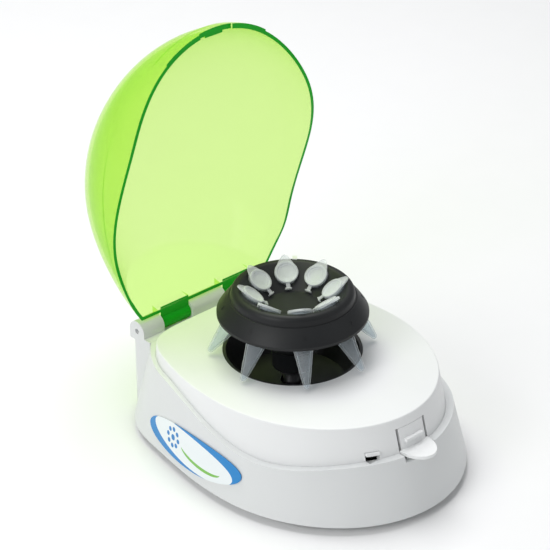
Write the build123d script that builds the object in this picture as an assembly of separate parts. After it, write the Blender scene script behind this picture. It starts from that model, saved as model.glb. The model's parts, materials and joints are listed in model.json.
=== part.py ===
from build123d import *
import os
from math import cos, hypot, pi, radians, sin, tan

# Laboratory mini centrifuge: egg-shaped housing, hinged domed lid, eight-place rotor.
# Millimetres. The pieces are drawn about the rotor axis (x = 0, y = 0, up = +Z), with the
# front towards -Y, and are moved together at the end so that the origin is the middle of
# the open machine's footprint, on the surface that it stands on.

# ---------------------------------------------------------------- overall sizes
HALF_WIDTH = 74.4          # housing at its foot
FRONT = 104.6              # rotor axis to the front of the foot
REAR = 80.0                # rotor axis to the back face
FOOT_HEIGHT = 4.5          # rubber feet lift the housing by this much
DECK_TOP = 53.5            # flat top of the housing
LID_TOP = 114.8            # crown of the closed lid

# ---------------------------------------------------------------- housing
WALL = 2.5                 # tray and deck wall
FLOOR = 2.5                # tray floor
SIDE_FLARE = 6.8           # the foot is this much wider than the top, each side
FRONT_FLARE = 13.9         # and this much longer in front
SIDE_LEDGE = 2.8           # ledge that the lid rests on, at deck height, at the sides
FRONT_LEDGE = 4.5          # the same in front
DECK_SIDE_DRAFT = 0.115    # slope of the deck's wall, sideways per height
DECK_FRONT_DRAFT = 0.298   # slope of the deck's wall in front
BACK_CORNER = 8.0
DECK_SET_BACK = 18.5       # back face to the deck's straight rear edge
SKIRT = 8.0                # how far the deck's wall reaches down inside the tray
SEAM = 0.15                # clearance between the deck's wall and the tray
FOOT_CENTRE = -20.0        # centre of the foot's egg outline
TOP_CENTRE = -8.0          # centre of the top's egg outline
FOOT_SIDE_LENGTH = 140.0   # half length of the ellipse behind the foot's centre
TOP_SIDE_LENGTH = 98.7     # half length of the ellipse behind the top's centre
FOOT_ROUNDNESS = 14        # higher is a squarer rear corner
TOP_ROUNDNESS = 8
DECK_ROUNDNESS = 16
OUTLINE_POINTS = 20

# Height of the ledge, below the deck: shoulder, then a long fall, then a rise in front.
SHOULDER_DROP = 7.3
REAR_RISE = 2.2
LEDGE_FALL = 14.9
FRONT_RISE = 4.6

# ---------------------------------------------------------------- lid and hinge
LID_WALL = 2.0
LID_GAP = 0.3              # closed rim above the ledge
LID_CLEARANCE = 0.35       # closed lid around the deck, where its inside is relieved
LID_BASE_DROP = 22.1       # centre height of the dome's elliptical ribs, below the deck
LID_CROWN_Y = 5.5          # highest rib
LID_REAR_LENGTH = 85.0     # how slowly the dome falls behind the crown
LID_FULLNESS = 1.71        # exponent of the dome's lengthwise curve
LID_REAR_LEAN = 0.2        # rear wall leans forward by this much per height
LID_REAR_Y_GAP = 6.9       # hinge axis to the rear wall at the rim
HINGE_BACK = 7.1           # back face to the hinge axis
HINGE_DROP = 2.4           # deck top to the hinge axis
RIDGE_RADIUS = 6.0
RIDGE_HALF_LENGTH = 47.5
KNUCKLE_RADIUS = 4.5
KNUCKLE_WIDTH = 20.0
KNUCKLE_X = 22.5
KNUCKLE_GAP = 0.4
PIN_RADIUS = 1.5
PIN_RUNNING_GAP = 0.05
PIN_RECESS = 1.5
PIN_END_X = 9.5
LID_OPENING = 90.0         # degrees
CHIN_HALF_WIDTH = 34.0     # thicker band at the front of the rim
CHIN_THICKNESS = 0.8
CHIN_HEIGHT = 9.0

# ---------------------------------------------------------------- latch and interlock
TONGUE_HALF_WIDTH = 8.7
SLOT_WIDTH = 1.6
TONGUE_TOP_DROP = 5.4      # deck top to the tongue's bending line
TONGUE_BOTTOM_DROP = 20.3
TONGUE_GAP = 0.2
TAB_HALF_WIDTH = 10.0
TAB_LENGTH = 12.5
TAB_THICKNESS = 1.8
TAB_TOP_DROP = 16.6
TAB_TRAVEL = 2.0
RIB_HALF_LENGTH = 6.0
RIB_DROP = 12.0
RIB_SIZE = 1.8
INTERLOCK_X = -24.5
INTERLOCK_HALF_WIDTH = 3.5
INTERLOCK_HEIGHT = 4.4
INTERLOCK_TRAVEL = 2.0
BAR_THICKNESS = 1.5
BAR_REACH = 1.0            # how far the bar stands out of the deck's wall

# ---------------------------------------------------------------- badge on the left wall
BADGE_THICKNESS = 0.7
BADGE_GLUE = 0.3           # between the badge and the wall
BADGE_HALF_LENGTH = 38.7
BADGE_HALF_HEIGHT = 10.4
BADGE_Y = 2.0
BADGE_Z = 19.2
BADGE_TURN = 3.0

# ---------------------------------------------------------------- rotor and tubes
PLACES = 8
FIRST_PLACE_ANGLE = 11.25
TUBE_TILT = 36.3           # tube axis from the vertical, tips outwards
TUBE_TIP_RADIUS = 43.9     # rotor axis to the centre of a tube's tip
TUBE_TIP_Z = 3.6           # that centre above the deck
TUBE_LENGTH = 39.4         # tip centre to cap top
TUBE_RADIUS = 5.4
TUBE_WALL = 1.0
TUBE_TIP = 1.8
TUBE_TIP_FLAT = 0.5        # radius of the flat moulding gate at the very tip
TUBE_CONE = 17.5           # length of the tapered end
TUBE_FIT = 0.1
CAP_RADIUS = 6.4
CAP_THICKNESS = 1.5
RIM_THICKNESS = 1.3
FLANGE_RADIUS = 40.4
FLANGE_Z = 22.5            # underside of the flange's edge above the deck
FLANGE_EDGE = 1.5
BEAD_RADIUS = 32.4
BEAD_SIZE = 1.6
BEAD_TOP = 37.0            # above the deck
DISC_RADIUS = 14.0
HUB_RADIUS = 11.0
BOWL_RADIUS = 37.4
BOWL_FLOOR_RADIUS = 29.0
BOWL_DEPTH = 19.5
BOWL_WALL = 1.6
BOWL_HOLE = 6.5
BOWL_FIT = 0.15
DRIVE_RADIUS = 5.0
DRIVE_FIT = 0.06
DRIVE_SEAT = 10.0          # rotor's lower end above the bowl's floor
DRIVE_ENGAGEMENT = 18.0    # how far the drive hub reaches into the rotor
SHAFT_RADIUS = 1.5
SHAFT_FIT = 0.05
INDEX_ANGLE = 45.0

# ---------------------------------------------------------------- motor and electronics
MOTOR_RADIUS = 14.0
MOTOR_CAP = 2.0
BUSH_RADIUS = 3.2
PILLAR_CIRCLE = 24.0
PILLAR_RADIUS = 3.5
PLATE_RADIUS = 31.0
PLATE_THICKNESS = 2.0
GROMMET_RADIUS = 5.6
GROMMET_NECK = 3.8
GROMMET_FLANGE = 2.0
SCREW_RADIUS = 1.45
SCREW_HEAD_RADIUS = 2.8
SCREW_HEAD = 1.8
SCREW_CLEARANCE = 0.05
BOSS_RADIUS = 4.2
BOSS_JOINT_Z = 16.0        # where the deck's posts meet the tray's posts
FOOT_RADIUS = 7.0
FOOT_PLUG = 2.4
BOARD_SIZE = (58.0, 26.0, 1.6)
BOARD_POST = 5.0
BOARD_POST_RADIUS = 2.6
BOARD_SCREW_RADIUS = 1.0
SWITCH_X = 24.0
SWITCH_SIZE = (14.0, 20.0)
ROCKER_HALF_WIDTH = 5.0
ROCKER_TILT = 7.0
SOCKET_RADIUS = 2.75
INLET_X = -24.0
INLET_RADIUS = 5.5

# ---------------------------------------------------------------- derived places
floor_top = FOOT_HEIGHT + FLOOR
hinge_y = REAR - HINGE_BACK
hinge_z = DECK_TOP - HINGE_DROP
deck_rear = REAR - DECK_SET_BACK
shoulder_z = DECK_TOP - SHOULDER_DROP
rear_ledge_z = shoulder_z + REAR_RISE
channel_z = rear_ledge_z
skirt_low = shoulder_z - LEDGE_FALL - SKIRT - 2.0
lid_base_z = DECK_TOP - LID_BASE_DROP
lid_height = LID_TOP - lid_base_z
bowl_floor_z = DECK_TOP - BOWL_DEPTH
plate_z = bowl_floor_z - 11.0
rotor_seat_z = bowl_floor_z + DRIVE_SEAT
tilt = radians(TUBE_TILT)
fitting_z = (floor_top + channel_z - 4.9) / 2 + 1
tube_seat = TUBE_LENGTH - CAP_THICKNESS - RIM_THICKNESS
tube_mouth = TUBE_LENGTH - CAP_THICKNESS
seat_r = TUBE_TIP_RADIUS - tube_seat * sin(tilt)
seat_z = DECK_TOP + TUBE_TIP_Z + tube_seat * cos(tilt)
drive_top = rotor_seat_z + DRIVE_ENGAGEMENT
ring_z = rotor_seat_z + DRIVE_ENGAGEMENT / 2
lid_rim_front_z = shoulder_z - LEDGE_FALL + FRONT_RISE + LID_GAP

# Egg outlines: half width, centre, length in front, ellipse length behind, rear cut, squareness.
FOOT_EGG = (HALF_WIDTH, FOOT_CENTRE, FRONT + FOOT_CENTRE, FOOT_SIDE_LENGTH, REAR - FOOT_CENTRE, FOOT_ROUNDNESS)
TOP_EGG = (
    HALF_WIDTH - SIDE_FLARE, TOP_CENTRE, FRONT - FRONT_FLARE + TOP_CENTRE, TOP_SIDE_LENGTH,
    REAR - TOP_CENTRE, TOP_ROUNDNESS,
)
DECK_EGG = (
    TOP_EGG[0] - SIDE_LEDGE, TOP_CENTRE, TOP_EGG[2] - FRONT_LEDGE, TOP_SIDE_LENGTH - 1.0,
    deck_rear - TOP_CENTRE, DECK_ROUNDNESS,
)


def smooth(y, start, end):
    """0 at start, 1 at end, level at both."""
    t = min(max((y - start) / (end - start), 0.0), 1.0)
    return t * t * (3 - 2 * t)


def ledge_height(y):
    """Height of the ledge between the deck's wall and the tray's wall."""
    return (
        shoulder_z
        + REAR_RISE * smooth(y, deck_rear - 16.5, deck_rear)
        - LEDGE_FALL * smooth(y, 0.39 * REAR, -0.445 * FRONT)
        + FRONT_RISE * smooth(y, -0.436 * FRONT, -0.872 * FRONT)
    )


def inset(egg, by, squarer=0):
    half_width, centre, front, side, rear, roundness = egg
    return (half_width - by, centre, front - by, side - by, rear - by, roundness + squarer)


def deck_egg(z, grow=0.0):
    """Outline of the deck's drafted wall at a height."""
    half_width, centre, front, side, rear, roundness = DECK_EGG
    fall = DECK_TOP - z
    outline = (
        half_width + DECK_SIDE_DRAFT * fall, centre, front + DECK_FRONT_DRAFT * fall,
        side + DECK_SIDE_DRAFT * fall, rear, roundness,
    )
    return inset(outline, -grow)


def tray_egg(z, grow=0.0):
    """Outline of the tray's flared wall at a height."""
    share = (z - FOOT_HEIGHT) / (DECK_TOP - FOOT_HEIGHT)
    return inset(between(FOOT_EGG, TOP_EGG, share), -grow)


def egg_wire(egg, z):
    """Half an ellipse in front, a longer one behind, cut straight across with round corners."""
    half_width, centre, front, side, rear, roundness = egg
    points = []
    for step in range(OUTLINE_POINTS):
        turn = 2 * pi * step / OUTLINE_POINTS
        across, along = cos(turn), sin(turn)
        reach = 1 / hypot(across / half_width, along / (side if along > 0 else front))
        if along > 1e-6:
            flat = rear / along
            reach = (reach**-roundness + flat**-roundness) ** (-1 / roundness)
        points.append(Vector(reach * across, centre + reach * along, z))
    return Wire([Edge.make_spline(points, periodic=True)])


def egg_solid(lower, lower_z, upper, upper_z):
    return Solid.make_loft([egg_wire(lower, lower_z), egg_wire(upper, upper_z)], True)


def egg_ring(outer_low, inner_low, low_z, outer_high, inner_high, high_z):
    """An egg-shaped wall, closed by flat rings above and below."""
    sides = [
        egg_solid(low, low_z, high, high_z).faces().sort_by(Axis.Z)[1]
        for low, high in ((outer_low, outer_high), (inner_low, inner_high))
    ]
    bottom = Face(egg_wire(outer_low, low_z), [egg_wire(inner_low, low_z)])
    top = Face(egg_wire(outer_high, high_z), [egg_wire(inner_high, high_z)])
    return Solid(Shell(sides + [bottom, top]))


def between(lower, upper, share):
    return tuple(a + (b - a) * share for a, b in zip(lower, upper))


def box(x0, x1, y0, y1, z0, z1):
    return Pos((x0 + x1) / 2, (y0 + y1) / 2, (z0 + z1) / 2) * Box(x1 - x0, y1 - y0, z1 - z0)


def rod(x, y, z0, z1, radius):
    return Pos(x, y, (z0 + z1) / 2) * Cylinder(radius, z1 - z0)


def bar_along_x(x0, x1, y, z, radius):
    return Pos((x0 + x1) / 2, y, z) * Rot(0, 90, 0) * Cylinder(radius, x1 - x0)


def bar_along_y(x, y0, y1, z, radius):
    return Pos(x, (y0 + y1) / 2, z) * Rot(90, 0, 0) * Cylinder(radius, y1 - y0)


def turned(points):
    """A solid of revolution about the rotor axis from (radius, height) corners."""
    corners = [Vector(r, 0, z) for r, z in points]
    return revolve(Face(Wire.make_polygon(corners, close=True)), Axis.Z)


def space_above_ledge(raise_by):
    """Everything above the ledge's curve, carried right across the machine."""
    near, far = -1.3 * FRONT, 1.5 * REAR
    steps = 20
    points = []
    for step in range(steps + 1):
        y = near + (far - near) * step / steps
        points.append(Vector(-2 * HALF_WIDTH, y, ledge_height(y) + raise_by))
    high = 3 * DECK_TOP
    corner_far = Vector(-2 * HALF_WIDTH, far, high)
    corner_near = Vector(-2 * HALF_WIDTH, near, high)
    outline = Wire([
        Edge.make_spline(points),
        Edge.make_line(points[-1], corner_far),
        Edge.make_line(corner_far, corner_near),
        Edge.make_line(corner_near, points[0]),
    ])
    return Solid.extrude(Face(outline), Vector(4 * HALF_WIDTH, 0, 0))


# ---------------------------------------------------------------- places that repeat
deck_half_width = DECK_EGG[0]
screw_places = [
    (side * x, y)
    for side in (-1, 1)
    for x, y in ((deck_half_width - 10.5, -0.28 * FRONT), (deck_half_width - 17.5, 0.5 * REAR))
]
foot_places = [
    (side * x, y)
    for side in (-1, 1)
    for x, y in ((0.66 * HALF_WIDTH, -0.6 * FRONT), (0.66 * HALF_WIDTH, 0.6 * REAR))
]
pillar_places = [(PILLAR_CIRCLE * cos(radians(a)), PILLAR_CIRCLE * sin(radians(a))) for a in (90, 210, 330)]
bowl_screw_places = [
    ((BOWL_RADIUS + 2.9) * cos(radians(a)), (BOWL_RADIUS + 2.9) * sin(radians(a))) for a in (30, 150, 270)
]
board_y = PILLAR_CIRCLE + PILLAR_RADIUS + 8.0 + BOARD_SIZE[1] / 2
board_z = floor_top + BOARD_POST
board_posts = [
    (sx * (BOARD_SIZE[0] / 2 - 3.5), board_y + sy * (BOARD_SIZE[1] / 2 - 3.5))
    for sx in (-1, 1) for sy in (-1, 1)
]
tongue_z = DECK_TOP - TONGUE_TOP_DROP
tab_top = DECK_TOP - TAB_TOP_DROP
tongue_bottom = DECK_TOP - TONGUE_BOTTOM_DROP


def deck_front_y(x, z):
    """Outer face of the deck's front wall."""
    half_width, centre, front = deck_egg(z)[:3]
    return centre - front * (1 - (x / half_width) ** 2) ** 0.5


interlock_y = deck_front_y(INTERLOCK_X, DECK_TOP - 17)
interlock_z = ledge_height(interlock_y)
bar_bottom = interlock_z + INTERLOCK_HEIGHT - BAR_THICKNESS - 0.3


# ---------------------------------------------------------------- housing
def make_tray():
    """The lower housing: floor, flared wall up to the ledge, and the hinge ridge behind."""
    foot = egg_solid(FOOT_EGG, FOOT_HEIGHT, tray_egg(floor_top), floor_top)
    wall = egg_ring(
        tray_egg(floor_top), deck_egg(floor_top, SEAM), floor_top, TOP_EGG, deck_egg(DECK_TOP, SEAM), DECK_TOP
    )
    wall -= space_above_ledge(0)
    back_block = box(
        -RIDGE_HALF_LENGTH, RIDGE_HALF_LENGTH, deck_rear + SEAM + 0.5, REAR, FOOT_HEIGHT, channel_z
    )
    back_block = fillet(back_block.edges().filter_by(Axis.Z).group_by(Axis.Y)[-1], BACK_CORNER)
    block_inside = box(
        -RIDGE_HALF_LENGTH + WALL, RIDGE_HALF_LENGTH - WALL,
        deck_rear - 15, REAR - WALL, floor_top, channel_z - 4.9,
    )
    ridge = bar_along_x(-RIDGE_HALF_LENGTH, RIDGE_HALF_LENGTH, hinge_y, hinge_z, RIDGE_RADIUS)
    ridge_foot = box(
        -RIDGE_HALF_LENGTH, RIDGE_HALF_LENGTH,
        hinge_y - RIDGE_RADIUS, hinge_y + RIDGE_RADIUS, channel_z - 3, hinge_z,
    )
    tray = wall.fuse(foot, back_block, ridge, ridge_foot).cut(block_inside)

    posts = [rod(x, y, FOOT_HEIGHT + 1, BOSS_JOINT_Z, BOSS_RADIUS) for x, y in screw_places]
    posts += [rod(x, y, FOOT_HEIGHT + 1, plate_z - GROMMET_FLANGE, PILLAR_RADIUS) for x, y in pillar_places]
    posts += [rod(x, y, FOOT_HEIGHT + 1, board_z, BOARD_POST_RADIUS) for x, y in board_posts]
    holes = [rod(x, y, 0, BOSS_JOINT_Z + 1, SCREW_RADIUS + 0.2) for x, y in screw_places]
    holes += [rod(x, y, 0, BOSS_JOINT_Z - 6, SCREW_HEAD_RADIUS + 0.5) for x, y in screw_places]
    holes += [rod(x, y, floor_top + 1, DECK_TOP, SCREW_RADIUS + SCREW_CLEARANCE) for x, y in pillar_places]
    holes += [rod(x, y, floor_top, DECK_TOP, BOARD_SCREW_RADIUS + SCREW_CLEARANCE) for x, y in board_posts]
    holes += [rod(x, y, 0, floor_top + 1, FOOT_PLUG + 0.1) for x, y in foot_places]

    for side in (-1, 1):
        low, high = sorted((side * (KNUCKLE_X - KNUCKLE_WIDTH / 2), side * (KNUCKLE_X + KNUCKLE_WIDTH / 2)))
        holes.append(bar_along_x(
            low - KNUCKLE_GAP, high + KNUCKLE_GAP, hinge_y, hinge_z, KNUCKLE_RADIUS + KNUCKLE_GAP
        ))
        holes.append(box(
            low - KNUCKLE_GAP, high + KNUCKLE_GAP, hinge_y - RIDGE_RADIUS - 1,
            hinge_y + RIDGE_RADIUS + 2, hinge_z - 3.4, hinge_z + RIDGE_RADIUS + 1,
        ))
        near, far = sorted((side * PIN_END_X, side * (RIDGE_HALF_LENGTH + 1)))
        holes.append(bar_along_x(near, far, hinge_y, hinge_z, PIN_RADIUS))

    # Notch for the finger tab, window for the interlock bar, and the two rear fittings.
    holes.append(box(
        -TAB_HALF_WIDTH - 0.9, TAB_HALF_WIDTH + 0.9, -FRONT - 5, -0.6 * FRONT,
        tab_top - TAB_THICKNESS - TAB_TRAVEL - 0.6, DECK_TOP,
    ))
    holes.append(box(
        INTERLOCK_X - INTERLOCK_HALF_WIDTH, INTERLOCK_X + INTERLOCK_HALF_WIDTH,
        interlock_y - BAR_REACH - 0.6, -0.55 * FRONT, interlock_z - INTERLOCK_TRAVEL + 0.6, DECK_TOP,
    ))
    holes.append(box(
        SWITCH_X - SWITCH_SIZE[0] / 2, SWITCH_X + SWITCH_SIZE[0] / 2, REAR - 6, REAR + 1,
        fitting_z - SWITCH_SIZE[1] / 2, fitting_z + SWITCH_SIZE[1] / 2,
    ))
    holes.append(bar_along_y(INLET_X, REAR - 6, REAR + 1, fitting_z, INLET_RADIUS))
    return tray.fuse(*posts).cut(*holes)


def make_deck():
    """The upper housing: flat deck, drafted wall with a skirt, and four screw posts."""
    low = skirt_low
    under = DECK_TOP - WALL
    wall = egg_ring(deck_egg(low), deck_egg(low, -WALL), low, deck_egg(under), deck_egg(under, -WALL), under)
    top = egg_solid(deck_egg(under), under, DECK_EGG, DECK_TOP)
    top = top.fillet(0.8, top.edges().group_by(Axis.Z)[-1])
    deck = (wall & space_above_ledge(-SKIRT)).fuse(top)
    posts = [rod(x, y, BOSS_JOINT_Z + 0.2, DECK_TOP - 1, BOSS_RADIUS - 0.4) for x, y in screw_places]
    slot = TONGUE_HALF_WIDTH + SLOT_WIDTH
    holes = [rod(x, y, 0, BOSS_JOINT_Z + 14, SCREW_RADIUS + SCREW_CLEARANCE) for x, y in screw_places]
    holes += [rod(x, y, 0, DECK_TOP - WALL + 1.7, 1.05) for x, y in bowl_screw_places]
    holes.append(rod(0, 0, 0, DECK_TOP + 1, BOWL_RADIUS + BOWL_FIT))
    holes.append(box(-slot, slot, -FRONT, -0.6 * FRONT, 0, tongue_z + TONGUE_GAP))
    holes.append(box(
        INTERLOCK_X - INTERLOCK_HALF_WIDTH, INTERLOCK_X + INTERLOCK_HALF_WIDTH,
        -FRONT, -0.55 * FRONT, interlock_z - INTERLOCK_TRAVEL + 0.6, interlock_z + INTERLOCK_HEIGHT,
    ))
    return deck.fuse(*posts).cut(*holes)


def make_tongue():
    """The latch: a springy strip of the front wall with a finger tab and a catch rib."""
    low = skirt_low
    thickness = WALL - 0.7
    wall = egg_ring(deck_egg(low), deck_egg(low, -thickness), low, DECK_EGG, inset(DECK_EGG, thickness), DECK_TOP)
    strip = wall & box(
        -TONGUE_HALF_WIDTH, TONGUE_HALF_WIDTH, -FRONT, -0.6 * FRONT, tongue_bottom, tongue_z
    )
    root = deck_front_y(0, tab_top) + 1.0
    tab = Pos(0, root, tab_top - TAB_THICKNESS) * extrude(
        Ellipse(TAB_HALF_WIDTH, TAB_LENGTH + 1.0), TAB_THICKNESS
    )
    tab &= box(-HALF_WIDTH, HALF_WIDTH, -2 * FRONT, root, 0, DECK_TOP)
    neck = box(
        -TONGUE_HALF_WIDTH, TONGUE_HALF_WIDTH, root - 0.5, root + 0.8, tab_top - TAB_THICKNESS, tab_top
    )
    rib_z = DECK_TOP - RIB_DROP
    rib_y = deck_front_y(RIB_HALF_LENGTH, rib_z)
    rib = box(
        -RIB_HALF_LENGTH, RIB_HALF_LENGTH, rib_y - RIB_SIZE, rib_y + 0.8,
        rib_z - RIB_SIZE / 2, rib_z + RIB_SIZE / 2,
    )
    return strip + tab + neck + rib


def make_bar():
    """The interlock bar that the closing lid pushes down onto the microswitch."""
    half = INTERLOCK_HALF_WIDTH - 0.3
    bar = box(
        INTERLOCK_X - half, INTERLOCK_X + half, interlock_y - 5 * BAR_REACH, interlock_y + 9,
        bar_bottom, bar_bottom + BAR_THICKNESS,
    )
    bar &= egg_solid(
        deck_egg(skirt_low, BAR_REACH), skirt_low, deck_egg(DECK_TOP, BAR_REACH), DECK_TOP
    )
    bar += box(
        INTERLOCK_X - 1.5, INTERLOCK_X + 1.5, interlock_y + 6, interlock_y + 9, bar_bottom - 5, bar_bottom
    )
    return bar


def make_microswitch():
    top = bar_bottom - 5 - INTERLOCK_TRAVEL - 0.2
    body = box(INTERLOCK_X - 6.4, INTERLOCK_X + 6.4, interlock_y + 4.5, interlock_y + 10.5, top - 7, top)
    for side in (-1, 1):
        body -= bar_along_y(INTERLOCK_X + 3.2 * side, interlock_y, interlock_y + 15, top - 5, 1.0)
        body += box(
            INTERLOCK_X + 3.2 * side - 0.4, INTERLOCK_X + 3.2 * side + 0.4,
            interlock_y + 6, interlock_y + 9, top - 10, top - 7,
        )
    return body


def make_switch_bracket():
    """Post from the tray's floor that carries the microswitch."""
    top = bar_bottom - 5 - INTERLOCK_TRAVEL - 0.2
    return box(
        INTERLOCK_X - 6.4, INTERLOCK_X + 6.4, interlock_y + 10.6, interlock_y + 13, floor_top, top
    )


# ---------------------------------------------------------------- lid
def lid_plan(grow):
    """Plan of the dome: half width, centre, length in front and length behind."""
    sides = tray_egg(lid_base_z + 12)
    front = tray_egg(lid_rim_front_z)
    front_y = front[1] - front[2]
    return sides[0] + grow, sides[1], sides[1] - front_y + grow, sides[3] + grow


def dome(grow):
    """Solid under the lid's surface, lofted through half-elliptical ribs from back to front."""
    half_width, centre, front, side = lid_plan(grow)
    front_y = centre - front
    rear_y = deck_rear + 8
    places = [LID_CROWN_Y + (rear_y - LID_CROWN_Y) * step / 3 for step in (3, 2, 1)]
    places += [LID_CROWN_Y + (front_y - LID_CROWN_Y) * sin(radians(84.5) * step / 9) for step in range(10)]
    sections = []
    for y in places:
        reach = LID_REAR_LENGTH if y > LID_CROWN_Y else LID_CROWN_Y - front_y
        fall = (abs(y - LID_CROWN_Y) / reach) ** LID_FULLNESS
        height = (lid_height + grow) * (1 - fall) ** (1 / LID_FULLNESS)
        width = half_width * (1 - ((y - centre) / (side if y > centre else front)) ** 2) ** 0.5
        rib_plane = Plane(origin=(0, y, lid_base_z), x_dir=(1, 0, 0), z_dir=(0, -1, 0))
        arch = Edge.make_ellipse(width, height, rib_plane, 0, 180)
        sections.append(Wire([arch, Edge.make_line(arch @ 1, arch @ 0)]))
    return Solid.make_loft(sections, False)


def rear_wall_space(back_by):
    """Everything in front of the lid's leaning rear wall."""
    y = hinge_y - LID_REAR_Y_GAP - back_by
    low, high = 0, 3 * DECK_TOP
    corners = [
        Vector(-2 * HALF_WIDTH, y + LID_REAR_LEAN * (rear_ledge_z - low), low),
        Vector(-2 * HALF_WIDTH, y + LID_REAR_LEAN * (rear_ledge_z - high), high),
        Vector(-2 * HALF_WIDTH, -2 * FRONT, high),
        Vector(-2 * HALF_WIDTH, -2 * FRONT, low),
    ]
    return Solid.extrude(Face(Wire.make_polygon(corners, close=True)), Vector(4 * HALF_WIDTH, 0, 0))


def make_lid():
    """The clear domed lid with its hinge knuckles, drawn closed and then swung open."""
    chin_top = lid_rim_front_z + CHIN_HEIGHT
    chin = dome(CHIN_THICKNESS) & box(
        -CHIN_HALF_WIDTH, CHIN_HALF_WIDTH, -2 * FRONT, -0.6 * FRONT, 0, chin_top
    )
    outer = (dome(0) & rear_wall_space(0)).fuse(chin)
    lid = outer.cut(dome(-LID_WALL) & rear_wall_space(LID_WALL)) & space_above_ledge(LID_GAP)

    relief_top = DECK_TOP + LID_CLEARANCE
    lid -= egg_solid(
        deck_egg(skirt_low, LID_CLEARANCE), skirt_low, deck_egg(relief_top, LID_CLEARANCE), relief_top
    )

    rib_foot = DECK_TOP - RIB_DROP - RIB_SIZE / 2
    catch_y = deck_front_y(0, rib_foot - 1.3) - 0.45
    catch = box(
        -RIB_HALF_LENGTH, RIB_HALF_LENGTH, catch_y - 3, catch_y, rib_foot - 2.2, rib_foot - 0.4
    )
    prong = box(
        INTERLOCK_X - 2.5, INTERLOCK_X + 2.5, interlock_y - 5, interlock_y - 0.4,
        bar_bottom + BAR_THICKNESS + LID_GAP, bar_bottom + BAR_THICKNESS + 6,
    )
    lid = lid.fuse((catch + prong) & dome(-0.4))
    lid = lid.cut(box(
        -TAB_HALF_WIDTH - 0.9, TAB_HALF_WIDTH + 0.9, -2 * FRONT, -0.6 * FRONT, 0, tab_top + 0.5
    ))

    wall_y = hinge_y - LID_REAR_Y_GAP
    knuckles, bores = [], []
    for side in (-1, 1):
        low, high = side * KNUCKLE_X - KNUCKLE_WIDTH / 2, side * KNUCKLE_X + KNUCKLE_WIDTH / 2
        knuckles.append(bar_along_x(low, high, hinge_y, hinge_z, KNUCKLE_RADIUS))
        knuckles.append(box(
            low, high, wall_y - LID_WALL - 1.4, hinge_y,
            rear_ledge_z + LID_GAP, hinge_z + KNUCKLE_RADIUS,
        ))
        bores.append(bar_along_x(low - 1, high + 1, hinge_y, hinge_z, PIN_RADIUS + PIN_RUNNING_GAP))
    lid = lid.fuse(*knuckles).cut(*bores)
    hinge = Axis((0, hinge_y, hinge_z), (1, 0, 0))
    return lid.rotate(hinge, -LID_OPENING)


def make_hinge_pins():
    pins = []
    for side in (-1, 1):
        near, far = sorted((side * PIN_END_X, side * (RIDGE_HALF_LENGTH - PIN_RECESS)))
        pins.append(bar_along_x(near, far, hinge_y, hinge_z, PIN_RADIUS))
    return Compound(pins)


# ---------------------------------------------------------------- small parts of the housing
def make_feet():
    feet = []
    for x, y in foot_places:
        foot = rod(x, y, 0, FOOT_HEIGHT, FOOT_RADIUS) + rod(x, y, FOOT_HEIGHT, floor_top, FOOT_PLUG)
        feet.append(foot + rod(x, y, floor_top, floor_top + 1.5, FOOT_PLUG + 0.8))
    return feet


def screw(x, y, z, length, radius, head_radius, head, up):
    """A pan-head screw whose head sits at z and whose shank points up or down."""
    if up:
        return rod(x, y, z - head, z, head_radius) + rod(x, y, z, z + length, radius)
    return rod(x, y, z, z + head, head_radius) + rod(x, y, z - length, z, radius)


def make_housing_screws():
    seat = BOSS_JOINT_Z - 6
    return Compound([
        screw(x, y, seat, 18.0, SCREW_RADIUS, SCREW_HEAD_RADIUS, SCREW_HEAD, True) for x, y in screw_places
    ])


def make_badge():
    """A thin oval badge that follows the tray's left wall."""
    low, high = BADGE_Z - BADGE_HALF_HEIGHT - 4, BADGE_Z + BADGE_HALF_HEIGHT + 4
    skin = egg_ring(
        tray_egg(low, BADGE_THICKNESS), tray_egg(low, BADGE_GLUE), low,
        tray_egg(high, BADGE_THICKNESS), tray_egg(high, BADGE_GLUE), high,
    )
    face = Plane(origin=(0, BADGE_Y, BADGE_Z), x_dir=(0, -1, 0), z_dir=(-1, 0, 0)) * (
        Rot(0, 0, BADGE_TURN) * Ellipse(BADGE_HALF_LENGTH, BADGE_HALF_HEIGHT)
    )
    return skin & extrude(face, 2 * HALF_WIDTH)


# ---------------------------------------------------------------- bowl, motor and drive
def make_bowl():
    flange_top = DECK_TOP - WALL
    under = bowl_floor_z - BOWL_WALL
    return turned([
        (BOWL_HOLE, bowl_floor_z),
        (BOWL_FLOOR_RADIUS, bowl_floor_z),
        (BOWL_RADIUS - BOWL_WALL, DECK_TOP - 0.2),
        (BOWL_RADIUS, DECK_TOP - 0.2),
        (BOWL_RADIUS, flange_top),
        (BOWL_RADIUS + 5, flange_top),
        (BOWL_RADIUS + 5, flange_top - 1.8),
        (BOWL_RADIUS - 0.6, flange_top - 1.8),
        (BOWL_FLOOR_RADIUS + BOWL_WALL, under),
        (BOWL_HOLE, under),
    ]).cut(*[rod(x, y, 0, DECK_TOP, 1.05) for x, y in bowl_screw_places])


def make_bowl_screws():
    z = DECK_TOP - WALL - 1.8
    return Compound([screw(x, y, z, 3.4, 1.0, 1.8, 1.2, True) for x, y in bowl_screw_places])


def make_motor_can():
    bottom = floor_top + 1 + MOTOR_CAP
    can = rod(0, 0, bottom, plate_z, MOTOR_RADIUS) + rod(0, 0, plate_z, plate_z + 3.5, 5.0)
    can = fillet(can.edges().filter_by(GeomType.CIRCLE).group_by(Axis.Z)[0], 1.0)
    holes = [rod(x, 0, plate_z - 5, plate_z, 1.25) for x in (-9, 9)]
    holes.append(rod(0, 0, plate_z - 11, plate_z, SHAFT_RADIUS + 0.4))
    holes.append(rod(0, 0, plate_z, plate_z + 4, BUSH_RADIUS))
    return can.cut(*holes)


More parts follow.
